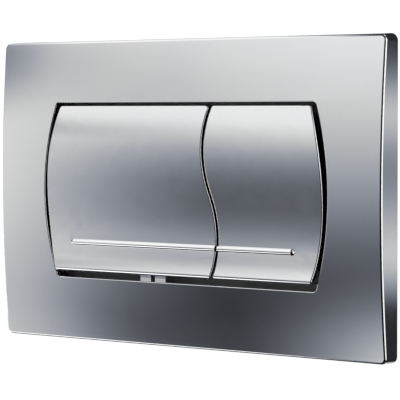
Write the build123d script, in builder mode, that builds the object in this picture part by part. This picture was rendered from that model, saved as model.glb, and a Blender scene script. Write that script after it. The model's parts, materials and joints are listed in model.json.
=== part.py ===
"""Dual-flush button plate for a concealed cistern.

Frame: the tiled wall is the plane Y = 0, the plate faces -Y, +X is to its right and +Z is up.
"Depth" below means millimetres in front of the wall, so a negative depth lies inside the wall.
"""
import os
from math import cos, radians, sin, sqrt, tan

from build123d import *

os.makedirs("parts", exist_ok=True)

# Cover plate
plate_width = 247.0
plate_height = 165.0
edge_depth = 10.2  # wall to the top and bottom edges of the front
crown = 4.4  # extra depth at mid height
wall_draft = 4.0  # degrees
plate_wall = 2.2
corner_round = 4.0
edge_round = 1.2

# Window in the cover plate: straight top and bottom, bowed sides
window_side = 31.8  # plate's edge to the window where it is widest
window_level = 34.2  # plate's edge to the window's, less the window's rise
window_rise = 0.6  # its middle lies this far above the plate's middle
window_bow = 155.0  # radius of the sides
window_corner = 2.2
window_round = 0.55
collar_wall = 1.6
collar_back = 4.4  # depth where the collar behind the window ends

# Buttons: a wave parts them, and their front has an S-shaped section
window_gap = 1.8  # above the buttons
side_gap = 2.3  # beside the buttons, where they are widest
side_drop = 2.0  # the buttons are widest this far below the window's middle
wave_gap = 1.5
wave_x = 20.4
wave_z = 0.4
wave_radius = 71.0
wave_lean = 20.2  # degrees off upright where the two arcs of the wave meet
button_wall = 1.9
lower_gap = 2.5  # below the buttons
button_corner = 1.6
button_round = 0.6
skirt_depth = 6.0
top_depth = 13.2
belly_depth = 16.2
belly_drop = 27.1  # below the buttons' top
hollow_depth = 14.75
hollow_lift = 23.2  # above the buttons' bottom
lip_depth = 16.85
lip_inner_round = 0.3
lip_turn = 65.0  # degrees that the front rolls over at the lip
button_rib = 1.4
button_rib_back = 10.0
button_level_ribs = 3
button_rib_pitch = 30.0

# Finger bar across both buttons
bar_length = 145.6
bar_radius = 1.75
bar_lift = 17.2  # above the buttons' bottom
bar_seat_depth = 14.95
bar_sink = 0.25

# Hinge at the top of each button
hinge_depth = 3.5
hinge_drop = 6.1  # below the buttons' top
pin_radius = 1.5
pin_press = 0.02
pin_running = 0.08
pin_chamfer = 0.3
ear_wall = 3.0
ear_radius = 3.4
lug_wall = 4.0
lug_gap = 0.4
button_swing = 4.5  # degrees

# Housing behind the window
flange_side = 15.3  # past the window at its widest
flange_lap = 3.0  # past the frame's well, above and below
flange_round = 6.0
flange_back = 2.0
flange_wall = 2.0
tub_margin = 3.6
tub_wall = 1.8
floor_depth = -6.0
floor_wall = 2.0
rod_opening = 7.5

# Screws that hold the housing to the cover plate
screw_spread_x = 80.0
screw_inset = 8.5  # from the top and bottom of the housing's flange
screw_radius = 1.25
screw_clearance = 0.35
screw_pilot = 0.05
screw_length = 8.0
screw_head_radius = 2.7
screw_head = 1.8
boss_radius = 3.5
slot_width = 0.8
slot_sink = 0.9

# Ribs inside the cover plate
cover_rib = 1.5
cover_rib_back = 6.5
upright_rib_x = (30.0, 100.0)
level_rib_z = 26.0

# Mounting frame on the wall
frame_rim = 9.0  # flange beside the well
frame_inset = 8.5  # from the plate's top and bottom
frame_wall = 2.0
frame_round = 5.0
well_gap = 5.9  # beside the housing's tub
well_inset = 9.0  # from the frame's top and bottom
bridge_depth = -18.0
bridge_wall = 2.5
bridge_slot_length = 36.0
bridge_slot_height = 20.0
bridge_slot_pitch = 46.0
bridge_slot_rows = 2
bridge_slot_columns = 4
bridge_row_pitch = 84.0

# Snap catches between the cover plate and the mounting frame
catch_x = 64.0
catch_inset = 3.0  # from the frame's top and bottom
catch_wall = 1.8
catch_width = 14.0
catch_depth = 8.0
catch_hole_width = 9.0
catch_hole_back = 4.1
catch_hole_front = 6.6
snap_width = 8.0
snap_wall = 1.6
snap_gap = 0.4
snap_barb = 1.3
snap_barb_back = 4.4
snap_barb_front = 6.3
snap_back = 3.4

# Push rods, their guides and springs
rod_spread = 40.0
rod_lift = 25.2  # above the buttons' bottom
rod_radius = 3.5
rod_running = 0.09
rod_end = -58.0
rod_head_radius = 6.0
rod_head = 3.0
pusher_tip = 1.0
pusher_radius = 4.5
pusher_round = 1.5
pusher_gap = 0.3
guide_radius = 6.0
guide_press = 0.03
guide_flange_radius = 8.0
guide_flange = 2.0
guide_tail = 9.0
spring_radius = 4.9
spring_wire = 0.9
spring_turns = 4
spring_gap = 0.15
nut_gap = 0.3
rod_nut_flats = 12.0
rod_nut_length = 5.0
thread_gap = 0.05
tip_radius = 5.5
tip_length = 11.0
tip_grip = 7.0
tip_round = 3.0

# Rubber stops under the lower edge of the buttons
stop_radius = 4.0
stop_height = 4.2
stop_lift = 9.7  # above the buttons' bottom
stop_gap = 0.5
stop_pad_radius = 3.0
stop_round = 0.8

# Tabs on the buttons that rest behind the window's collar
tab_width = 7.0
tab_wall = 2.0
tab_gap = 0.3
tab_reach = 1.2  # past the outside of the collar
side_tab_lift = 9.2  # above the buttons' bottom

# Where each button carries its ears, lower tabs, stop pads and upright ribs, across the plate
large_ears = (-58.0, -6.0)
large_lower_tabs = (-29.8, -20.0)
large_stops = (-72.0, 4.0)
large_ribs = (-75.0, -40.0, 5.0)
small_ears = (36.0, 68.0)
small_lower_tabs = ()
small_stops = (36.0, 70.0)
small_ribs = (40.0, 72.0)

# Fixing studs with their washers and thumb nuts
stud_spread = 75.0
stud_neck_radius = 3.0
stud_radius = 4.0
stud_end = -52.0
stud_chamfer = 0.8
stud_collar_radius = 7.0
stud_collar = 4.0
stud_tail = 1.0  # neck left in front of the thumb nut
stud_slot = 12.0
stud_slot_gap = 0.5
washer_radius = 9.0
washer_wall = 1.2
thumb_radius = 8.0
thumb_wall = 5.0
thumb_flutes = 12
flute_radius = 1.3

# Places worked out from the sizes above
tan_draft = tan(radians(wall_draft))
back_width = plate_width + 2 * edge_depth * tan_draft
back_height = plate_height + 2 * edge_depth * tan_draft
crown_radius = ((plate_height / 2) ** 2 + crown**2) / (2 * crown)
front_depth = edge_depth + crown
window_width = plate_width - 2 * window_side
flange_width = window_width + 2 * flange_side
well_width = window_width + 2 * (tub_margin + tub_wall + well_gap)
frame_width = well_width + 2 * (frame_wall + frame_rim)
window_height = plate_height - 2 * window_level
frame_height = plate_height - 2 * frame_inset
well_height = frame_height - 2 * well_inset
flange_height = well_height + 2 * flange_lap
screw_spread_z = flange_height / 2 - screw_inset
catch_z = frame_height / 2 - catch_inset
window_top = window_rise + window_height / 2
window_bottom = window_rise - window_height / 2
button_top = window_top - window_gap
button_bottom = window_bottom + lower_gap
belly_z = button_top - belly_drop
hollow_z = button_bottom + hollow_lift
bar_z = button_bottom + bar_lift
hinge_z = button_top - hinge_drop
stop_z = button_bottom + stop_lift
lip_round = button_wall + lip_inner_round
lip_z = button_bottom + lip_round
rod_z = button_bottom + rod_lift
side_tab_z = button_bottom + side_tab_lift
flange_front = flange_back + flange_wall
floor_back = floor_depth - floor_wall
bridge_back = bridge_depth - bridge_wall
rod_head_front = pusher_tip - pusher_gap
rod_head_back = rod_head_front - rod_head
guide_front = bridge_depth + guide_flange
guide_back = bridge_back - guide_tail
rod_nut_front = guide_back - nut_gap
stop_top = floor_depth + stop_height
stop_pad_back = stop_top + stop_gap + (hinge_z - stop_z) * sin(radians(button_swing))
tab_front = collar_back - tab_gap
washer_front = bridge_depth + washer_wall
thumb_front = washer_front + thumb_wall
far = 2 * plate_width  # reaches past the whole plate
side_plane = Plane(origin=(0, 0, 0), x_dir=(0, -1, 0), z_dir=(-1, 0, 0))  # depth across, height up
screw_columns = (-screw_spread_x, 0, screw_spread_x)
screw_rows = (-screw_spread_z, screw_spread_z)
screw_places = [(x, z) for x in screw_columns for z in screw_rows]
catch_places = [(x, side) for x in (-catch_x, catch_x) for side in (-1, 1)]


def at_depth(depth):
    """Upright plane at a depth in front of the wall, with X across and Z up."""
    return Plane.XZ.offset(depth)


def beside(x):
    """Side-on plane at a place across the plate, with depth across and Z up."""
    return side_plane.offset(-x)


def crown_section(inset):
    """Side section of the crowned front, moved back by an inset."""
    reach = plate_height / 2 + corner_round
    edge = front_depth - crown_radius + sqrt(crown_radius**2 - reach**2)
    with BuildSketch() as section:
        with BuildLine():
            ThreePointArc((edge - inset, -reach), (front_depth - inset, 0), (edge - inset, reach))
            Polyline((edge - inset, reach), (-far, reach), (-far, -reach), (edge - inset, -reach))
        make_face()
    return section.sketch


def barrel(top, bottom, widest, middle, bow):
    """Outline with a straight top and bottom, and bowed sides that are widest at a middle height."""
    upper = widest - bow + sqrt(bow**2 - (top - middle) ** 2)
    lower = widest - bow + sqrt(bow**2 - (middle - bottom) ** 2)
    with BuildSketch() as outline:
        with BuildLine():
            Line((-upper, top), (upper, top))
            ThreePointArc((upper, top), (widest, middle), (lower, bottom))
            Line((lower, bottom), (-lower, bottom))
            ThreePointArc((-lower, bottom), (-widest, middle), (-upper, top))
        make_face()
    return outline.sketch


def grown_window(grow):
    """Window outline grown outward by a margin, with rounded corners."""
    widest = window_width / 2 + grow
    sharp = barrel(window_top + grow, window_bottom - grow, widest, window_rise, window_bow + grow)
    with BuildSketch() as outline:
        add(sharp)
        fillet(outline.vertices(), window_corner + grow)
    return outline.sketch


def beside_wave(side, shift):
    """All that lies on one side of the wave line, after moving the line sideways."""
    lean = radians(wave_lean)
    start = (wave_x + shift, wave_z)
    with BuildSketch() as region:
        with BuildLine():
            upper = JernArc(start, (-sin(lean), cos(lean)), wave_radius, -2 * wave_lean)
            lower = JernArc(start, (sin(lean), -cos(lean)), wave_radius, -2 * wave_lean)
            over = upper @ 1 + (upper % 1) * plate_height
            under = lower @ 1 + (lower % 1) * plate_height
            Polyline(upper @ 1, over, (side * far, over.Y), (side * far, under.Y), under, lower @ 1)
        make_face()
    return region.sketch


def button_outline(side, inset):
    """Front outline of the left (-1) or right (+1) button, drawn in by an inset."""
    drawn_in = side_gap + inset
    widest = window_width / 2 - drawn_in
    middle = window_rise - side_drop
    both_buttons = barrel(button_top - inset, button_bottom + inset, widest, middle, window_bow - drawn_in)
    one_side = beside_wave(side, side * (wave_gap / 2 + inset))
    with BuildSketch() as outline:
        add(both_buttons)
        add(one_side, mode=Mode.INTERSECT)
    return outline.sketch


def button_section(inset):
    """Side section of the buttons: a belly above, a hollow below and a lip at the bottom."""
    with BuildSketch() as section:
        with BuildLine():
            front = Spline(
                (top_depth - inset, button_top),
                (belly_depth - inset, belly_z),
                (hollow_depth - inset, hollow_z),
                (bar_seat_depth - inset, bar_z),
                (lip_depth - inset, lip_z),
            )
            lip = JernArc(front @ 1, front % 1, lip_round - inset, -lip_turn)
            over = front @ 0 - (front % 0) * edge_depth
            under = lip @ 1 + (lip % 1) * edge_depth
            Polyline(lip @ 1, under, (-far, under.Y), (-far, over.Y), over, front @ 0)
        make_face()
    return section.sketch


# Outlines and sections that several pieces share
far_side = beside(far / 2)  # a section drawn here crosses the whole plate when extruded by far
cover_front = crown_section(0)
cover_inner_front = crown_section(plate_wall)
window_outline = grown_window(0)
collar_outline = grown_window(collar_wall)
tab_outline = grown_window(collar_wall + tab_reach)
tub_inner = grown_window(tub_margin)
tub_outer = grown_window(tub_margin + tub_wall)
button_front = button_section(0)
button_mid_front = button_section(button_wall / 2)
button_inner_front = button_section(button_wall)

# Space inside the cover plate, with its collar, bosses, ribs and snap hooks left standing
with BuildPart() as cover_space:
    with BuildSketch(Plane.XZ):
        RectangleRounded(back_width - 2 * plate_wall, back_height - 2 * plate_wall, corner_round)
    extrude(amount=front_depth, taper=wall_draft)
    with BuildSketch(far_side):
        add(cover_inner_front)
    extrude(amount=far, mode=Mode.INTERSECT)
    with BuildSketch(at_depth(collar_back)):
        add(collar_outline)
    extrude(amount=front_depth, mode=Mode.SUBTRACT)
    with BuildSketch(at_depth(flange_front)):
        with Locations(*screw_places):
            Circle(boss_radius)
    extrude(amount=front_depth, mode=Mode.SUBTRACT)
    with BuildSketch(at_depth(cover_rib_back)):
        for rib_x in upright_rib_x:
            with GridLocations(2 * rib_x, 1, 2, 1):
                Rectangle(cover_rib, far)
        with GridLocations(1, 2 * level_rib_z, 1, 2):
            Rectangle(far, cover_rib)
    extrude(amount=front_depth, mode=Mode.SUBTRACT)
    for snap_x, snap_side in catch_places:
        snap_inner = catch_z + catch_wall / 2 + snap_gap
        snap_outer = snap_inner + snap_wall
        with BuildSketch(beside(snap_x)):
            with BuildLine():
                Polyline(
                    (snap_back, snap_side * snap_inner),
                    (snap_barb_back, snap_side * snap_inner),
                    (snap_barb_front, snap_side * (snap_inner - snap_barb)),
                    (snap_barb_front, snap_side * snap_inner),
                    (front_depth, snap_side * snap_inner),
                    (front_depth, snap_side * snap_outer),
                    (snap_back, snap_side * snap_outer),
                    close=True,
                )
            make_face()
        extrude(amount=snap_width / 2, both=True, mode=Mode.SUBTRACT)

# Cover plate
with BuildPart() as cover_plate:
    with BuildSketch(Plane.XZ):
        RectangleRounded(back_width, back_height, corner_round)
    extrude(amount=front_depth, taper=wall_draft)
    with BuildSketch(far_side):
        add(cover_front)
    extrude(amount=far, mode=Mode.INTERSECT)
    fillet(cover_plate.faces().sort_by(Axis.Y)[0].edges(), edge_round)
    add(cover_space.part, mode=Mode.SUBTRACT)
    with BuildSketch(Plane.XZ):
        add(window_outline)
    extrude(amount=2 * front_depth, mode=Mode.SUBTRACT)
    fillet(cover_plate.faces().sort_by(Axis.Y)[0].inner_wires()[0].edges(), window_round)
    with BuildSketch(at_depth(flange_front)):
        with Locations(*screw_places):
            Circle(screw_radius + screw_pilot)
    extrude(amount=screw_length - flange_wall, mode=Mode.SUBTRACT)
cover_plate.part.label = "cover_plate"
export_step(cover_plate.part, "parts/cover_plate.step")

# Bar that the fingers feel, whole, before the wave parts it
with BuildPart() as finger_bar:
    bar_axis_depth = bar_seat_depth - bar_sink
    bar_plane = Plane(origin=(0, -bar_axis_depth, bar_z), x_dir=(1, 0, 0), z_dir=(0, 0, 1))
    with BuildSketch(bar_plane):
        with BuildLine():
            bar_half = bar_length / 2
            Line((-bar_half, 0), (bar_half, 0))
            RadiusArc((bar_half, 0), (bar_half - bar_radius, bar_radius), -bar_radius)
            Line((bar_half - bar_radius, bar_radius), (bar_radius - bar_half, bar_radius))
            RadiusArc((bar_radius - bar_half, bar_radius), (-bar_half, 0), -bar_radius)
        make_face()
    revolve(axis=Axis((0, -bar_axis_depth, bar_z), (1, 0, 0)))


def build_button(name, side, ear_places, lower_tabs, stop_places, rib_places):
    """One button: a hollow shell with its hinge ears, pusher, stop pads, rest tabs and bar."""
    outline = button_outline(side, 0)
    mid_outline = button_outline(side, button_wall / 2)
    inner_outline = button_outline(side, button_wall)
    with BuildSketch() as tab_places:
        with Locations((side * window_width / 2, side_tab_z)):
            Rectangle(window_width / 2, tab_width)
        for tab_x in lower_tabs:
            with Locations((tab_x, button_bottom)):
                Rectangle(tab_width, window_height / 2)

    with BuildPart() as inside:
        with BuildSketch(at_depth(skirt_depth)):
            add(inner_outline)
        extrude(amount=lip_depth)
        with BuildSketch(far_side):
            add(button_inner_front)
        extrude(amount=far, mode=Mode.INTERSECT)

    with BuildPart() as stiffening:
        with BuildSketch(at_depth(button_rib_back)):
            with Locations(*[(x, 0) for x in rib_places]):
                Rectangle(button_rib, far)
            with GridLocations(1, button_rib_pitch, 1, button_level_ribs):
                Rectangle(far, button_rib)
        extrude(amount=lip_depth)
        with BuildSketch(at_depth(pusher_tip)):
            with Locations((side * rod_spread, rod_z)):
                Circle(pusher_radius)
        extrude(amount=lip_depth)
        fillet(stiffening.faces().sort_by(Axis.Y)[-1].edges(), pusher_round)
        with BuildSketch(at_depth(stop_pad_back)):
            with Locations(*[(x, stop_z) for x in stop_places]):
                Circle(stop_pad_radius)
        extrude(amount=lip_depth)
        for ear_x in ear_places:
            with BuildSketch(beside(ear_x)):
                with Locations((hinge_depth, hinge_z)):
                    Circle(ear_radius)
                with Locations((hinge_depth + lip_depth / 2, hinge_z)):
                    Rectangle(lip_depth, 2 * ear_radius)
            extrude(amount=ear_wall / 2, both=True)
        with BuildSketch(Plane.XZ):
            add(mid_outline)
        extrude(amount=far, both=True, mode=Mode.INTERSECT)
        with BuildSketch(far_side):
            add(button_mid_front)
        extrude(amount=far, mode=Mode.INTERSECT)

    with BuildPart() as bar:
        add(finger_bar.part)
        with BuildSketch(Plane.XZ):
            add(outline)
        extrude(amount=far, mode=Mode.INTERSECT)

    with BuildPart() as button:
        with BuildSketch(at_depth(skirt_depth)):
            add(outline)
        extrude(amount=lip_depth)
        upright_edges = button.edges().filter_by(Axis.Y)
        corner_edges = upright_edges.filter_by(lambda edge: abs(edge.center().Z - wave_z) > button_corner)
        fillet(corner_edges, button_corner)
        with BuildSketch(far_side):
            add(button_front)
        extrude(amount=far, mode=Mode.INTERSECT)
        front_edges = button.faces().sort_by(Axis.Y)[:2].edges()
        lip_seam = front_edges.filter_by(Axis.X).sort_by(Axis.Z)[1:-1]
        fillet([edge for edge in front_edges if edge not in lip_seam], button_round)
        add(inside.part, mode=Mode.SUBTRACT)
        add(stiffening.part)
        add(bar.part)
        with BuildSketch(at_depth(tab_front)):
            add(outline)
            add(inner_outline, mode=Mode.SUBTRACT)
            add(tab_places.sketch, mode=Mode.INTERSECT)
        extrude(amount=skirt_depth + tab_wall - tab_front)
        with BuildSketch(at_depth(tab_front - tab_wall)):
            add(tab_outline)
            add(inner_outline, mode=Mode.SUBTRACT)
            add(tab_places.sketch, mode=Mode.INTERSECT)
        extrude(amount=tab_wall)
        with BuildSketch(side_plane):
            with Locations((hinge_depth, hinge_z)):
                Circle(pin_radius + pin_running)
        extrude(amount=far, both=True, mode=Mode.SUBTRACT)
    button.part.label = name
    export_step(button.part, f"parts/{name}.step")


build_button("large_button", -1, large_ears, large_lower_tabs, large_stops, large_ribs)
build_button("small_button", 1, small_ears, small_lower_tabs, small_stops, small_ribs)


def lug_places(ears):
    """The two lugs that flank a button's ears from outside."""
    step = ear_wall / 2 + lug_gap + lug_wall / 2
    return (min(ears) - step, max(ears) + step)


# Housing: a tub behind the window that carries the hinge pins and the rubber stops
with BuildPart() as button_housing:
    with BuildSketch(at_depth(flange_back)):
        RectangleRounded(flange_width, flange_height, flange_round)
        with Locations(*screw_places):
            Circle(screw_radius + screw_clearance, mode=Mode.SUBTRACT)
    extrude(amount=flange_wall)
    with BuildSketch(at_depth(floor_back)):
        add(tub_outer)
    extrude(amount=flange_front - floor_back)
    with BuildSketch(at_depth(floor_depth)):
        add(tub_inner)
    extrude(amount=flange_front - floor_depth, mode=Mode.SUBTRACT)
    for lug_x in lug_places(large_ears) + lug_places(small_ears):
        with BuildSketch(beside(lug_x)):
            with Locations((hinge_depth, hinge_z)):
                Circle(ear_radius)
            with Locations(((hinge_depth + floor_depth) / 2, hinge_z)):
                Rectangle(hinge_depth - floor_depth, 2 * ear_radius)
        extrude(amount=lug_wall / 2, both=True)
    with BuildSketch(side_plane):
        with Locations((hinge_depth, hinge_z)):
            Circle(pin_radius + pin_press)
    extrude(amount=plate_width / 2 - plate_wall, both=True, mode=Mode.SUBTRACT)
    with BuildSketch(at_depth(floor_back)):
        with Locations((-rod_spread, rod_z), (rod_spread, rod_z)):
            Circle(rod_opening)
    extrude(amount=floor_wall, mode=Mode.SUBTRACT)
button_housing.part.label = "button_housing"
export_step(button_housing.part, "parts/button_housing.step")

# Six self-tapping screws, driven from behind
with BuildPart() as housing_screws:
    with BuildSketch(at_depth(flange_back)):
        with Locations(*screw_places):
            Circle(screw_radius)
    extrude(amount=screw_length)
    with BuildSketch(at_depth(flange_back - screw_head)):
        with Locations(*screw_places):
            Circle(screw_head_radius)
    extrude(amount=screw_head)
    with BuildSketch(at_depth(flange_back - screw_head)):
        with Locations(*screw_places):
            Rectangle(slot_width, 2 * screw_head_radius)
            Rectangle(2 * screw_head_radius, slot_width)
    extrude(amount=slot_sink, mode=Mode.SUBTRACT)
housing_screws.part.label = "housing_screws"
export_step(housing_screws.part, "parts/housing_screws.step")


def build_pin(name, ears):
    """Steel hinge pin from the outside of one lug to the outside of the other."""
    left, right = lug_places(ears)
    with BuildPart() as pin:
        with BuildSketch(beside(right + lug_wall / 2)):
            with Locations((hinge_depth, hinge_z)):
                Circle(pin_radius)
        extrude(amount=right - left + lug_wall)
        chamfer(pin.edges().filter_by(GeomType.CIRCLE), pin_chamfer)
    pin.part.label = name
    export_step(pin.part, f"parts/{name}.step")


build_pin("large_hinge_pin", large_ears)
build_pin("small_hinge_pin", small_ears)


def build_stops(name, places):
    """Rubber stops standing on the housing's floor."""
    with BuildPart() as stops:
        with BuildSketch(at_depth(floor_depth)):
            with Locations(*[(x, stop_z) for x in places]):
                Circle(stop_radius)
        extrude(amount=stop_height)
        fillet(stops.edges().group_by(Axis.Y)[0], stop_round)
    stops.part.label = name
    export_step(stops.part, f"parts/{name}.step")


build_stops("large_button_stops", large_stops)
build_stops("small_button_stops", small_stops)

# Mounting frame: a flange on the wall, a well into it and a bridge across the well
with BuildPart() as mounting_frame:
    with BuildSketch(Plane.XZ):
        RectangleRounded(frame_width, frame_height, frame_round)
    extrude(amount=flange_back)
    with BuildSketch(at_depth(bridge_back)):
        RectangleRounded(well_width + 2 * frame_wall, well_height + 2 * frame_wall, frame_round)
    extrude(amount=flange_back - bridge_back)
    with BuildSketch(at_depth(bridge_depth)):
        RectangleRounded(well_width, well_height, frame_round - frame_wall)
    extrude(amount=flange_back - bridge_depth, mode=Mode.SUBTRACT)
    with BuildSketch(at_depth(bridge_back)):
        with GridLocations(bridge_slot_pitch, bridge_row_pitch, bridge_slot_columns, bridge_slot_rows):
            RectangleRounded(bridge_slot_length, bridge_slot_height, frame_round)
        with Locations((-rod_spread, rod_z), (rod_spread, rod_z)):
            Circle(guide_radius + guide_press)
        with Locations((-stud_spread, 0), (stud_spread, 0)):
            SlotOverall(stud_slot, 2 * (stud_neck_radius + stud_slot_gap))
    extrude(amount=bridge_wall, mode=Mode.SUBTRACT)
    for place_x, place_side in catch_places:
        with BuildSketch(at_depth(flange_back)):
            with Locations((place_x, place_side * catch_z)):
                Rectangle(catch_width, catch_wall)
        extrude(amount=catch_depth - flange_back)
        with BuildSketch(at_depth(catch_hole_back)):
            with Locations((place_x, place_side * catch_z)):
                Rectangle(catch_hole_width, 2 * catch_wall)
        extrude(amount=catch_hole_front - catch_hole_back, mode=Mode.SUBTRACT)
mounting_frame.part.label = "mounting_frame"
export_step(mounting_frame.part, "parts/mounting_frame.step")


def build_plunger(size, x):
    """Push rod of one button with its guide, return spring, stop nut and end tip."""
    place = (x, rod_z)
    with BuildPart() as push_rod:
        with BuildSketch(at_depth(rod_head_back)):
            with Locations(place):
                Circle(rod_head_radius)
        extrude(amount=rod_head)
        chamfer(push_rod.edges().filter_by(GeomType.CIRCLE), pin_chamfer)
        with BuildSketch(at_depth(rod_end)):
            with Locations(place):
                Circle(rod_radius)
        extrude(amount=rod_head_back - rod_end)
    push_rod.part.label = f"{size}_push_rod"
    export_step(push_rod.part, f"parts/{size}_push_rod.step")

    with BuildPart() as rod_guide:
        with BuildSketch(at_depth(bridge_depth)):
            with Locations(place):
                Circle(guide_flange_radius)
        extrude(amount=guide_flange)
        with BuildSketch(at_depth(guide_back)):
            with Locations(place):
                Circle(guide_radius)
        extrude(amount=guide_front - guide_back)
        with BuildSketch(at_depth(guide_back)):
            with Locations(place):
                Circle(rod_radius + rod_running)
        extrude(amount=guide_front - guide_back, mode=Mode.SUBTRACT)
    rod_guide.part.label = f"{size}_rod_guide"
    export_step(rod_guide.part, f"parts/{size}_rod_guide.step")

    coil_low = guide_front + spring_gap + spring_wire / 2
    coil_height = rod_head_back - spring_gap - spring_wire / 2 - coil_low
    with BuildPart() as return_spring:
        with BuildLine() as coil:
            Helix(
                pitch=coil_height / spring_turns,
                height=coil_height,
                radius=spring_radius,
                center=(x, -coil_low, rod_z),
                direction=(0, -1, 0),
            )
        with BuildSketch(Plane(origin=coil.line @ 0, z_dir=coil.line % 0)):
            Circle(spring_wire / 2)
        sweep(is_frenet=True)
    return_spring.part.label = f"{size}_return_spring"
    export_step(return_spring.part, f"parts/{size}_return_spring.step")

    with BuildPart() as rod_nut:
        with BuildSketch(at_depth(rod_nut_front - rod_nut_length)):
            with Locations(place):
                RegularPolygon(rod_nut_flats / 2, 6, major_radius=False)
                Circle(rod_radius + thread_gap, mode=Mode.SUBTRACT)
        extrude(amount=rod_nut_length)
    rod_nut.part.label = f"{size}_rod_nut"
    export_step(rod_nut.part, f"parts/{size}_rod_nut.step")

    with BuildPart() as rod_tip:
        with BuildSketch(at_depth(rod_end + tip_grip - tip_length)):
            with Locations(place):
                Circle(tip_radius)
        extrude(amount=tip_length)
        fillet(rod_tip.edges().group_by(Axis.Y)[-1], tip_round)
        with BuildSketch(at_depth(rod_end)):
            with Locations(place):
                Circle(rod_radius + thread_gap)
        extrude(amount=tip_grip, mode=Mode.SUBTRACT)
    rod_tip.part.label = f"{size}_rod_tip"
    export_step(rod_tip.part, f"parts/{size}_rod_tip.step")


build_plunger("large", -rod_spread)
build_plunger("small", rod_spread)


def build_fixing(hand, x):
    """Stud that screws into the cistern, with the washer and thumb nut that clamp the frame."""
    place = (x, 0)
    with BuildPart() as fixing_stud:
        with BuildSketch(at_depth(bridge_back - stud_collar)):
            with Locations(place):
                Circle(stud_collar_radius)
        extrude(amount=stud_collar)
        with BuildSketch(at_depth(bridge_back)):
            with Locations(place):
                Circle(stud_neck_radius)
        extrude(amount=thumb_front + stud_tail - bridge_back)
        with BuildSketch(at_depth(stud_end)):
            with Locations(place):
                Circle(stud_radius)
        extrude(amount=bridge_back - stud_collar - stud_end)
        chamfer(fixing_stud.edges().group_by(Axis.Y)[-1], stud_chamfer)
    fixing_stud.part.label = f"{hand}_fixing_stud"
    export_step(fixing_stud.part, f"parts/{hand}_fixing_stud.step")

    with BuildPart() as washer:
        with BuildSketch(at_depth(bridge_depth)):
            with Locations(place):
                Circle(washer_radius)
                Circle(stud_neck_radius + stud_slot_gap, mode=Mode.SUBTRACT)
        extrude(amount=washer_wall)
    washer.part.label = f"{hand}_washer"
    export_step(washer.part, f"parts/{hand}_washer.step")

    with BuildPart() as thumb_nut:
        with BuildSketch(at_depth(washer_front)):
            with Locations(place):
                Circle(thumb_radius)
                Circle(stud_neck_radius + thread_gap, mode=Mode.SUBTRACT)
                with PolarLocations(thumb_radius, thumb_flutes):
                    Circle(flute_radius, mode=Mode.SUBTRACT)
        extrude(amount=thumb_wall)
    thumb_nut.part.label = f"{hand}_thumb_nut"
    export_step(thumb_nut.part, f"parts/{hand}_thumb_nut.step")


build_fixing("left", -stud_spread)
build_fixing("right", stud_spread)
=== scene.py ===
import json
from math import cos, degrees, radians, sin, tau

import bpy
from mathutils import Matrix, Vector


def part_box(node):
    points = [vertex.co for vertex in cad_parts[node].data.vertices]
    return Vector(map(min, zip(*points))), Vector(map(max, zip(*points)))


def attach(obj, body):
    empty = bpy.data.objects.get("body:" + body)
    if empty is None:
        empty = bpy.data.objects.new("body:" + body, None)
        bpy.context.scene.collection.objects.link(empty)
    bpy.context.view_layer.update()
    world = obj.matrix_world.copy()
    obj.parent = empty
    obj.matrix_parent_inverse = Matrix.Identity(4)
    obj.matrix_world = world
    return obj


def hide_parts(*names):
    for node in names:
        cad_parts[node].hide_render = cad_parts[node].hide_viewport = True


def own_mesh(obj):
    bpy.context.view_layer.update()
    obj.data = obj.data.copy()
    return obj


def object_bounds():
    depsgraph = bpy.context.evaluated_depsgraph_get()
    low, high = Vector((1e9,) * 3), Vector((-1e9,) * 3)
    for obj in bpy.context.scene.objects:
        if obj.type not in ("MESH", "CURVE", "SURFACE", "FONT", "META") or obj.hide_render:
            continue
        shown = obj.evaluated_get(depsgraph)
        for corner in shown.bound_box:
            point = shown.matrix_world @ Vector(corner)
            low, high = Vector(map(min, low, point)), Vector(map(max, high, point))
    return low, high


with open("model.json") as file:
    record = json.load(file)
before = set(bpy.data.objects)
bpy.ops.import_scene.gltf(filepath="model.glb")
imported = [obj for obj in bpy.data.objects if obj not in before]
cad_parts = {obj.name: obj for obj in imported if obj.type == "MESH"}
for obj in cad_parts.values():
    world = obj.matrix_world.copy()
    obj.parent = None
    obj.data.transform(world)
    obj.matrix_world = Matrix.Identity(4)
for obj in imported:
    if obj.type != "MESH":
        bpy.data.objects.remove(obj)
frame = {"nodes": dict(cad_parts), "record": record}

# Box of the solids, taken before any piece is added
solid_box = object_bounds()

scene = bpy.context.scene

# Camera, in metres and degrees, with its lens and sensor in millimetres
camera_lens = 172.35
camera_sensor = 36.0
camera_turn = 34.80  # to the plate's right
camera_rise = 2.83
camera_roll = 0.14
camera_distance = 1.0304
camera_aim = Vector((0.0025, 0.0016, -0.0036))

# Floor, in metres
floor_drop = 0.6  # below the plate
floor_reach = 12.0

# Turned pieces, in metres
turned_facets = 64
turned_bevel = 0.0003
rings_a_pitch = 10
thread_depth = 0.61  # share of the pitch
thread_crest = 0.06  # half of the flat crest and of the flat root, as shares of the pitch
neck_radius = 0.003
neck_pitch = 0.001
stud_radius = 0.004
stud_pitch = 0.00125
stud_collar = 0.004
stud_chamfer = 0.0008
rod_radius = 0.0035
rod_pitch = 0.001
rod_head = 0.003
sharp_angle = radians(35.0)

# Return springs, in metres
spring_wire = 0.0009
spring_turns = 4
rings_a_turn = 48
wire_facets = 16

# Lips of the buttons, in metres, against the solids' lips
lip_lift = 0.0011
lip_sink = 0.00045
lip_start = -0.0303  # height where the face starts to change, below the bar
lip_end = -0.0428  # height where the lip starts to roll over
face_back = -0.012  # depth behind which nothing sinks, so the stop pads keep their place

# Noise in the materials
noise_low = 0.3  # most of a noise's values lie above this
noise_high = 0.7  # and below this
patch_detail = 3.0
grain_detail = 4.0

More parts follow.
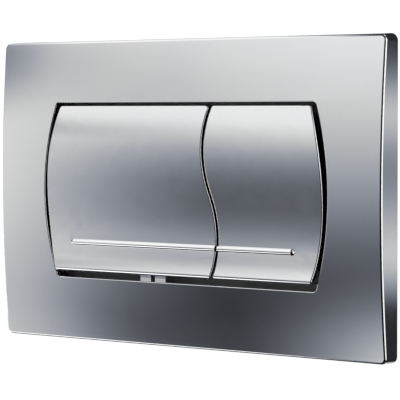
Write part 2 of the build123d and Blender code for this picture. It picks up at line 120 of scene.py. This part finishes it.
# Room
white = (1.0, 1.0, 1.0, 1.0)
fill_strength = 1.08  # what lights everything but reflections
room_base = 0.025  # what reflections see where there is no soft box
shadow_tint = (0.905, 0.970, 1.125, 1.0)  # colour of dim reflections
tint_range = (0.24, 0.68)  # strength over which they turn white

# Soft boxes and flags that the chrome mirrors, in the degrees that studio_lights works out.
# A pair holds where an edge starts and ends. A pair named bell holds the middle and the width of a soft spot.

# Overhead box, with an end on the left
overhead_rise = (-14.1, 16.2)
overhead_side = (-90.0, -60.0)
overhead_strength = 0.925
left_end_across = (44.0, 54.0)
front_half = (-0.1, 0.1)  # share of a direction that points to the front

# Lights high above
top_light_rise = (25.0, 40.0)
top_light_strength = 0.15
zenith_rise = (58.0, 70.0)
zenith_strength = 0.9

# White wall on the left
left_wall_side = (34.3, 44.1)
left_wall_top = (3.2, 10.6)
left_wall_bottom = (-46.0, -38.0)
left_wall_strength = 0.665

# Card and band in front of the plate, low down
low_card_side_bell = (27.9, 4.0)
low_card_rise_bell = (-22.4, 7.2)
low_card_bottom = (-25.0, -21.5)
low_card_strength = 1.4
low_band_across = (29.5, 33.0)
low_band_bottom = (-60.0, -53.0)
low_band_top = (-37.0, -30.0)
low_band_strength = 1.1

# Box on the right
right_box_back = (-122.0, -110.0)
right_box_front = (-66.0, -56.0)
right_box_bottom = (-40.0, -20.0)
right_box_top = (25.0, 45.0)
right_box_strength = 1.15

# Light and two cards behind the plate
back_light_rise = (6.0, 16.0)
back_light_across = (30.5, 33.0)
back_light_strength = 0.9
back_card_side_bell = (-143.0, 16.0)
back_upper_rise_bell = (-0.22, 1.11)
back_upper_strength = 0.51
back_lower_rise_bell = (-7.1, 3.97)
back_lower_bottom = (-6.26, -4.1)
back_lower_strength = 1.05

# Flags before the overhead box and the left wall
left_flag_side = (30.0, 45.0)
left_flag_rise_bell = (4.5, 8.8)
left_flag_strength = 0.63
low_flag_side_bell = (37.6, 2.45)
low_flag_rise_bell = (-15.2, 4.5)
low_flag_strength = 0.63
corner_flag_pitch = (24.0, 34.0)
corner_flag_across = (38.4, 40.4)
corner_flag_strength = 0.6
upper_flag_side = (39.4, 41.6)
upper_flag_rise_bell = (9.5, 4.2)
upper_flag_strength = 0.5

# Two dark flags that shade every light, in front of the plate and above it
dark_right = (-62.0, -54.0)
front_flag_left = (15.0, 24.0)
front_flag_top = (14.0, 30.0)
top_flag_left = (29.4, 31.2)
top_flag_front = (18.0, 28.0)
top_flag_back = (100.0, 130.0)
dark_strength = 0.96


def add_node(tree, kind, **settings):
    """New shader node with its settings."""
    node = tree.nodes.new(kind)
    for name, value in settings.items():
        setattr(node, name, value)
    return node


def calc(tree, operation, first, second=None):
    """Result of an operation on numbers or sockets."""
    node = add_node(tree, "ShaderNodeMath", operation=operation)
    for slot, value in zip(node.inputs, (first, second)):
        if isinstance(value, bpy.types.NodeSocket):
            tree.links.new(value, slot)
        elif value is not None:
            slot.default_value = value
    return node.outputs["Value"]


def product(tree, *factors):
    """All factors multiplied."""
    total = factors[0]
    for factor in factors[1:]:
        total = calc(tree, "MULTIPLY", total, factor)
    return total


def ease(tree, value, edge):
    """Smooth step from 0 at the edge's start to 1 at its end."""
    node = add_node(tree, "ShaderNodeMapRange", interpolation_type="SMOOTHSTEP")
    tree.links.new(value, node.inputs["Value"])
    node.inputs["From Min"].default_value, node.inputs["From Max"].default_value = edge
    return node.outputs["Result"]


def fade(tree, value, edge):
    """Smooth step from 1 at the edge's start to 0 at its end."""
    return calc(tree, "SUBTRACT", 1.0, ease(tree, value, edge))


def bell(tree, value, spot):
    """Bell curve of height 1 over a spot's middle and width."""
    middle, width = spot
    offset = calc(tree, "DIVIDE", calc(tree, "SUBTRACT", value, middle), width)
    return calc(tree, "EXPONENT", product(tree, offset, offset, -1.0))


def shade(tree, light, flag, strength):
    """A light with a flag in front of it."""
    return product(tree, light, calc(tree, "SUBTRACT", 1.0, product(tree, flag, strength)))


def in_degrees(tree, angle):
    """An angle in degrees."""
    return product(tree, angle, degrees(1.0))


def studio_lights(tree, left, front, up):
    """Soft boxes and flags round the plate, for a direction's parts to its left, to its front and up."""
    # Round the plate to its left, and up from level
    side = in_degrees(tree, calc(tree, "ARCTAN2", left, front))
    rise = in_degrees(tree, calc(tree, "ARCSINE", up))
    # Round the plate upwards, and to the left of its upright middle plane
    pitch = in_degrees(tree, calc(tree, "ARCTAN2", up, front))
    across = in_degrees(tree, calc(tree, "ARCSINE", left))

    left_end = product(tree, fade(tree, across, left_end_across), ease(tree, front, front_half))
    overhead = product(
        tree, ease(tree, rise, overhead_rise), left_end, ease(tree, side, overhead_side), overhead_strength
    )
    top_light = product(tree, ease(tree, rise, top_light_rise), left_end, top_light_strength)
    zenith = product(tree, ease(tree, rise, zenith_rise), zenith_strength)
    left_wall = product(
        tree, ease(tree, side, left_wall_side), fade(tree, rise, left_wall_top),
        ease(tree, rise, left_wall_bottom), left_wall_strength
    )
    low_card = product(
        tree, bell(tree, side, low_card_side_bell), bell(tree, rise, low_card_rise_bell),
        ease(tree, rise, low_card_bottom), low_card_strength
    )
    low_band = product(
        tree, ease(tree, across, low_band_across), ease(tree, pitch, low_band_bottom),
        fade(tree, pitch, low_band_top), low_band_strength
    )
    right_box = product(
        tree, ease(tree, side, right_box_back), fade(tree, side, right_box_front),
        ease(tree, rise, right_box_bottom), fade(tree, rise, right_box_top), right_box_strength
    )
    back_light = product(
        tree, fade(tree, front, front_half), ease(tree, rise, back_light_rise),
        ease(tree, across, back_light_across), back_light_strength
    )
    back_upper = product(tree, bell(tree, rise, back_upper_rise_bell), back_upper_strength)
    back_lower = product(
        tree, bell(tree, rise, back_lower_rise_bell), ease(tree, rise, back_lower_bottom), back_lower_strength
    )
    back_cards = product(
        tree, bell(tree, side, back_card_side_bell), calc(tree, "ADD", back_upper, back_lower)
    )

    left_flag = product(tree, ease(tree, side, left_flag_side), bell(tree, rise, left_flag_rise_bell))
    low_flag = product(tree, bell(tree, side, low_flag_side_bell), bell(tree, rise, low_flag_rise_bell))
    corner_flag = product(tree, ease(tree, pitch, corner_flag_pitch), ease(tree, across, corner_flag_across))
    upper_flag = product(tree, ease(tree, side, upper_flag_side), bell(tree, rise, upper_flag_rise_bell))
    dark_end = ease(tree, side, dark_right)
    front_flag = product(tree, dark_end, fade(tree, side, front_flag_left), fade(tree, rise, front_flag_top))
    top_flag = product(
        tree, dark_end, fade(tree, across, top_flag_left),
        ease(tree, pitch, top_flag_front), fade(tree, pitch, top_flag_back)
    )

    total = calc(tree, "ADD", shade(tree, overhead, left_flag, left_flag_strength), left_wall)
    total = shade(tree, total, low_flag, low_flag_strength)
    total = shade(tree, total, corner_flag, corner_flag_strength)
    total = shade(tree, total, upper_flag, upper_flag_strength)
    for light in (top_light, zenith, low_card, low_band, right_box, back_light, back_cards, room_base):
        total = calc(tree, "ADD", total, light)
    return shade(tree, total, calc(tree, "MAXIMUM", front_flag, top_flag), dark_strength)


def make_world():
    """Even white room for everything but reflections, which see the soft boxes."""
    world = bpy.data.worlds.new("studio")
    world.use_nodes = True
    tree = world.node_tree
    tree.nodes.clear()
    place = add_node(tree, "ShaderNodeTexCoord")
    axes = add_node(tree, "ShaderNodeSeparateXYZ")
    tree.links.new(place.outputs["Generated"], axes.inputs["Vector"])
    left = product(tree, axes.outputs["X"], -1.0)
    front = product(tree, axes.outputs["Y"], -1.0)
    lights = studio_lights(tree, left, front, axes.outputs["Z"])
    tint = add_node(tree, "ShaderNodeMix", data_type="RGBA")
    tree.links.new(ease(tree, lights, tint_range), tint.inputs["Factor"])
    tint.inputs["A"].default_value = shadow_tint
    tint.inputs["B"].default_value = white
    reflected = add_node(tree, "ShaderNodeBackground")
    tree.links.new(tint.outputs["Result"], reflected.inputs["Color"])
    tree.links.new(lights, reflected.inputs["Strength"])
    plain = add_node(tree, "ShaderNodeBackground")
    plain.inputs["Color"].default_value = white
    plain.inputs["Strength"].default_value = fill_strength
    path = add_node(tree, "ShaderNodeLightPath")
    choice = add_node(tree, "ShaderNodeMixShader")
    tree.links.new(path.outputs["Is Glossy Ray"], choice.inputs[0])
    tree.links.new(plain.outputs["Background"], choice.inputs[1])
    tree.links.new(reflected.outputs["Background"], choice.inputs[2])
    output = add_node(tree, "ShaderNodeOutputWorld")
    tree.links.new(choice.outputs["Shader"], output.inputs["Surface"])
    scene.world = world


def grain(tree, size, detail):
    """Noise fixed to the piece, with grains of a size in metres."""
    place = add_node(tree, "ShaderNodeTexCoord")
    mapping = add_node(tree, "ShaderNodeMapping")
    mapping.inputs["Scale"].default_value = [1.0 / size] * 3
    noise = add_node(tree, "ShaderNodeTexNoise")
    noise.inputs["Scale"].default_value = 1.0
    noise.inputs["Detail"].default_value = detail
    tree.links.new(place.outputs["Object"], mapping.inputs["Vector"])
    tree.links.new(mapping.outputs["Vector"], noise.inputs["Vector"])
    return noise.outputs["Fac"]


def spread(tree, source, low, high):
    """A noise's usual range spread over low to high."""
    node = add_node(tree, "ShaderNodeMapRange")
    tree.links.new(source, node.inputs["Value"])
    node.inputs["From Min"].default_value = noise_low
    node.inputs["From Max"].default_value = noise_high
    node.inputs["To Min"].default_value = low
    node.inputs["To Max"].default_value = high
    return node.outputs["Result"]


def make_material(name, dark, light, roughness, patch, grain_size, grain_depth, metallic=0.0):
    """Colour that drifts from dark to light over patches, with a fine grain in its gloss and relief."""
    material = bpy.data.materials.new(name)
    material.use_nodes = True
    tree = material.node_tree
    shader = tree.nodes["Principled BSDF"]
    shader.inputs["Metallic"].default_value = metallic
    colour = add_node(tree, "ShaderNodeValToRGB")
    colour.color_ramp.elements[0].position = noise_low
    colour.color_ramp.elements[0].color = (*dark, 1.0)
    colour.color_ramp.elements[1].position = noise_high
    colour.color_ramp.elements[1].color = (*light, 1.0)
    tree.links.new(grain(tree, patch, patch_detail), colour.inputs["Fac"])
    tree.links.new(colour.outputs["Color"], shader.inputs["Base Color"])
    fine = grain(tree, grain_size, grain_detail)
    tree.links.new(spread(tree, fine, *roughness), shader.inputs["Roughness"])
    relief = add_node(tree, "ShaderNodeBump")
    relief.inputs["Distance"].default_value = grain_depth
    tree.links.new(fine, relief.inputs["Height"])
    tree.links.new(relief.outputs["Normal"], shader.inputs["Normal"])
    return material


materials = {
    "chrome_plated_abs": make_material(
        "chrome", dark=(0.83, 0.84, 0.85), light=(0.87, 0.87, 0.87), roughness=(0.035, 0.06),
        patch=0.05, grain_size=0.012, grain_depth=2e-6, metallic=1.0
    ),
    "grey_abs": make_material(
        "grey_plastic", dark=(0.25, 0.25, 0.26), light=(0.30, 0.30, 0.31), roughness=(0.34, 0.48),
        patch=0.02, grain_size=0.0004, grain_depth=2e-5
    ),
    "anthracite_abs": make_material(
        "dark_grey_plastic", dark=(0.050, 0.052, 0.056), light=(0.068, 0.070, 0.075), roughness=(0.42, 0.58),
        patch=0.025, grain_size=0.0005, grain_depth=3e-5
    ),
    "white_acetal": make_material(
        "white_acetal", dark=(0.80, 0.80, 0.77), light=(0.86, 0.86, 0.83), roughness=(0.28, 0.40),
        patch=0.01, grain_size=0.0006, grain_depth=1e-5
    ),
    "grey_acetal": make_material(
        "grey_acetal", dark=(0.27, 0.28, 0.29), light=(0.34, 0.35, 0.36), roughness=(0.34, 0.48),
        patch=0.01, grain_size=0.0005, grain_depth=1.5e-5
    ),
    "stainless_steel": make_material(
        "stainless_steel", dark=(0.55, 0.54, 0.52), light=(0.66, 0.65, 0.63), roughness=(0.16, 0.34),
        patch=0.004, grain_size=0.0006, grain_depth=4e-6, metallic=1.0
    ),
    "zinc_steel": make_material(
        "zinc_plate", dark=(0.56, 0.58, 0.62), light=(0.70, 0.70, 0.68), roughness=(0.24, 0.40),
        patch=0.006, grain_size=0.0007, grain_depth=6e-6, metallic=1.0
    ),
    "black_rubber": make_material(
        "black_rubber", dark=(0.014, 0.014, 0.014), light=(0.028, 0.028, 0.027), roughness=(0.65, 0.85),
        patch=0.006, grain_size=0.0004, grain_depth=3e-5
    ),
}
slot_of = {part["node"]: part["material_slot"] for part in frame["record"]["subparts"]}
for node, material_slot in slot_of.items():
    slots = frame["nodes"][node].data.materials
    slots.clear()
    slots.append(materials[material_slot])


def add_piece(mesh, node, body):
    """Piece of a mesh that stands for a CAD node, in the node's material."""
    piece = bpy.data.objects.new(mesh.name, mesh)
    scene.collection.objects.link(piece)
    material_slot = slot_of[node]
    mesh.materials.clear()
    mesh.materials.append(materials[material_slot])
    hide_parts(node)
    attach(piece, body)
    return piece


def make_piece(name, node, body, points, facets):
    """Piece through rings of points, closed at both ends, that stands for a CAD node."""
    faces = [tuple(range(facets)), tuple(reversed(range(len(points) - facets, len(points))))]
    for ring in range(len(points) // facets - 1):
        for facet in range(facets):
            here = ring * facets + facet
            beside = ring * facets + (facet + 1) % facets
            faces.append((here, here + facets, beside + facets, beside))
    mesh = bpy.data.meshes.new(name)
    mesh.from_pydata(points, [], faces)
    mesh.validate()
    mesh.shade_smooth()
    mesh.set_sharp_from_angle(angle=sharp_angle)
    return add_piece(mesh, node, body)


def thread_cut(turn, y, pitch):
    """How deep a thread is cut, from 0 on its crest to 1 in its root."""
    off_root = abs((y / pitch - turn) % 1.0 - 0.5)
    return min(max((0.5 - thread_crest - off_root) / (0.5 - 2 * thread_crest), 0.0), 1.0)


def turned_rings(profile):
    """Rings of a turned piece as (y, radius, pitch, depth), threaded from a row with a pitch to the next."""
    for (y, radius, pitch), (next_y, _, _) in zip(profile, profile[1:]):
        yield y, radius, 0.0, 0.0
        steps = round((next_y - y) / pitch * rings_a_pitch) if pitch else 0
        for step in range(1, steps):
            ring_y = y + (next_y - y) * step / steps
            runout = min(1.0, step / rings_a_pitch, (steps - step) / rings_a_pitch)
            yield ring_y, radius, pitch, runout * thread_depth * pitch
    yield profile[-1][0], profile[-1][1], 0.0, 0.0


def make_turned(node, body, profile):
    """Turned piece on an axis along Y that stands for a CAD node; profile rows are (y, radius, pitch)."""
    low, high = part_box(node)
    middle = (low + high) / 2
    points = []
    for y, radius, pitch, depth in turned_rings(profile):
        for facet in range(turned_facets):
            turn = facet / turned_facets
            reach = radius - (depth * thread_cut(turn, y, pitch) if depth else 0.0)
            points.append((middle.x + reach * cos(tau * turn), y, middle.z + reach * sin(tau * turn)))
    make_piece(f"{node}_turned", node, body, points, turned_facets)


def make_stud(node):
    """Fixing stud: a threaded neck for the thumb nut, a collar behind the frame and a long thread."""
    low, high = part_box(node)
    collar = (high.x - low.x) / 2
    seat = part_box("mounting_frame")[1].y
    back = seat + stud_collar
    make_turned(node, "plate", [
        (low.y, neck_radius - turned_bevel, 0.0),
        (low.y + turned_bevel, neck_radius, neck_pitch),
        (seat, neck_radius, 0.0),
        (seat, collar - turned_bevel, 0.0),
        (seat + turned_bevel, collar, 0.0),
        (back - turned_bevel, collar, 0.0),
        (back, collar - turned_bevel, 0.0),
        (back, stud_radius, stud_pitch),
        (high.y - stud_chamfer, stud_radius, 0.0),
        (high.y, stud_radius - stud_chamfer, 0.0),
    ])


def make_rod(size):
    """Push rod: a broad head, a smooth shank that runs in the guide and a thread for the nut and the tip."""
    node = f"{size}_push_rod"
    low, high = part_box(node)
    head = (high.x - low.x) / 2
    back = low.y + rod_head
    make_turned(node, f"{size}_plunger", [
        (low.y, head - turned_bevel, 0.0),
        (low.y + turned_bevel, head, 0.0),
        (back - turned_bevel, head, 0.0),
        (back, head - turned_bevel, 0.0),
        (back, rod_radius, 0.0),
        (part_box(f"{size}_rod_nut")[0].y, rod_radius, rod_pitch),
        (high.y - turned_bevel, rod_radius, 0.0),
        (high.y, rod_radius - turned_bevel, 0.0),
    ])


def make_spring(size):
    """Return spring: round wire wound from the guide to the rod's head."""
    node = f"{size}_return_spring"
    low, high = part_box(node)
    middle = (low + high) / 2
    length = high.y - low.y
    coil_radius = (high.x - low.x - spring_wire) / 2
    rise = (length - spring_wire) / (spring_turns * tau)
    points = []
    for ring in range(spring_turns * rings_a_turn + 1):
        wound = tau * ring / rings_a_turn
        outward = Vector((sin(wound), 0.0, -cos(wound)))
        along = Vector((coil_radius * cos(wound), -rise, coil_radius * sin(wound))).normalized()
        across = outward.cross(along)
        core = Vector((middle.x, high.y - spring_wire / 2 - rise * wound, middle.z)) + coil_radius * outward
        for facet in range(wire_facets):
            turn = tau * facet / wire_facets
            points.append(core + spring_wire / 2 * (cos(turn) * outward + sin(turn) * across))
    spring = make_piece(f"{size}_return_spring_coil", node, "plate", points, wire_facets)
    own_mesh(spring)


def lip_change(place):
    """Shift of a point of a button, a smooth step down its face, and how fast the shift grows with height."""
    share = min(max((lip_start - place.z) / (lip_start - lip_end), 0.0), 1.0)
    full = Vector((0.0, lip_sink if place.y < face_back else 0.0, lip_lift))
    growth = -6.0 * share * (1.0 - share) / (lip_start - lip_end)
    return full * share * share * (3.0 - 2.0 * share), full * growth


def make_button(size):
    """Button: the solid's skin with its lip drawn up, which opens the gap below it to its full height."""
    node = f"{size}_button"
    mesh = frame["nodes"][node].data.copy()
    mesh.name = f"{node}_skin"
    normals = [corner.vector.copy() for corner in mesh.corner_normals]
    for loop, normal in zip(mesh.loops, normals):
        growth = lip_change(mesh.vertices[loop.vertex_index].co)[1]
        normal.z = (normal.z - growth.y * normal.y) / (1.0 + growth.z)
        normal.normalize()
    for vertex in mesh.vertices:
        vertex.co += lip_change(vertex.co)[0]
    mesh.normals_split_custom_set(normals)
    add_piece(mesh, node, node)


def make_floor():
    """Pale floor well below the plate."""
    low = solid_box[0]
    mesh = bpy.data.meshes.new("floor")
    corners = [(-1, -1), (1, -1), (1, 1), (-1, 1)]
    points = [(x * floor_reach, y * floor_reach, low.z - floor_drop) for x, y in corners]
    mesh.from_pydata(points, [], [(0, 1, 2, 3)])
    floor = bpy.data.objects.new("floor", mesh)
    scene.collection.objects.link(floor)
    material = make_material(
        "floor", dark=(0.94, 0.94, 0.94), light=(0.96, 0.96, 0.96), roughness=(0.7, 0.8),
        patch=0.3, grain_size=0.02, grain_depth=1e-5
    )
    material.node_tree.nodes["Principled BSDF"].inputs["Specular IOR Level"].default_value = 0.0
    mesh.materials.append(material)
    floor.visible_glossy = False


def make_camera():
    """Camera at the photograph's angle."""
    turn, rise, roll = radians(camera_turn), radians(camera_rise), radians(camera_roll)
    forward = Vector((-sin(turn) * cos(rise), cos(turn) * cos(rise), -sin(rise)))
    right = Vector((cos(turn), sin(turn), 0.0))
    up = right.cross(forward)
    right, up = cos(roll) * right - sin(roll) * up, sin(roll) * right + cos(roll) * up
    data = bpy.data.cameras.new("camera")
    data.sensor_fit = "HORIZONTAL"
    data.sensor_width = camera_sensor
    data.lens = camera_lens
    camera = bpy.data.objects.new("camera", data)
    scene.collection.objects.link(camera)
    place = camera_aim - camera_distance * forward
    turned = Matrix((right, up, -forward)).transposed().to_4x4()
    camera.matrix_world = Matrix.Translation(place) @ turned
    scene.camera = camera


make_world()
make_stud("left_fixing_stud")
make_stud("right_fixing_stud")
for make in (make_rod, make_spring, make_button):
    make("large")
    make("small")
make_floor()
make_camera()
scene.view_settings.view_transform = "Standard"
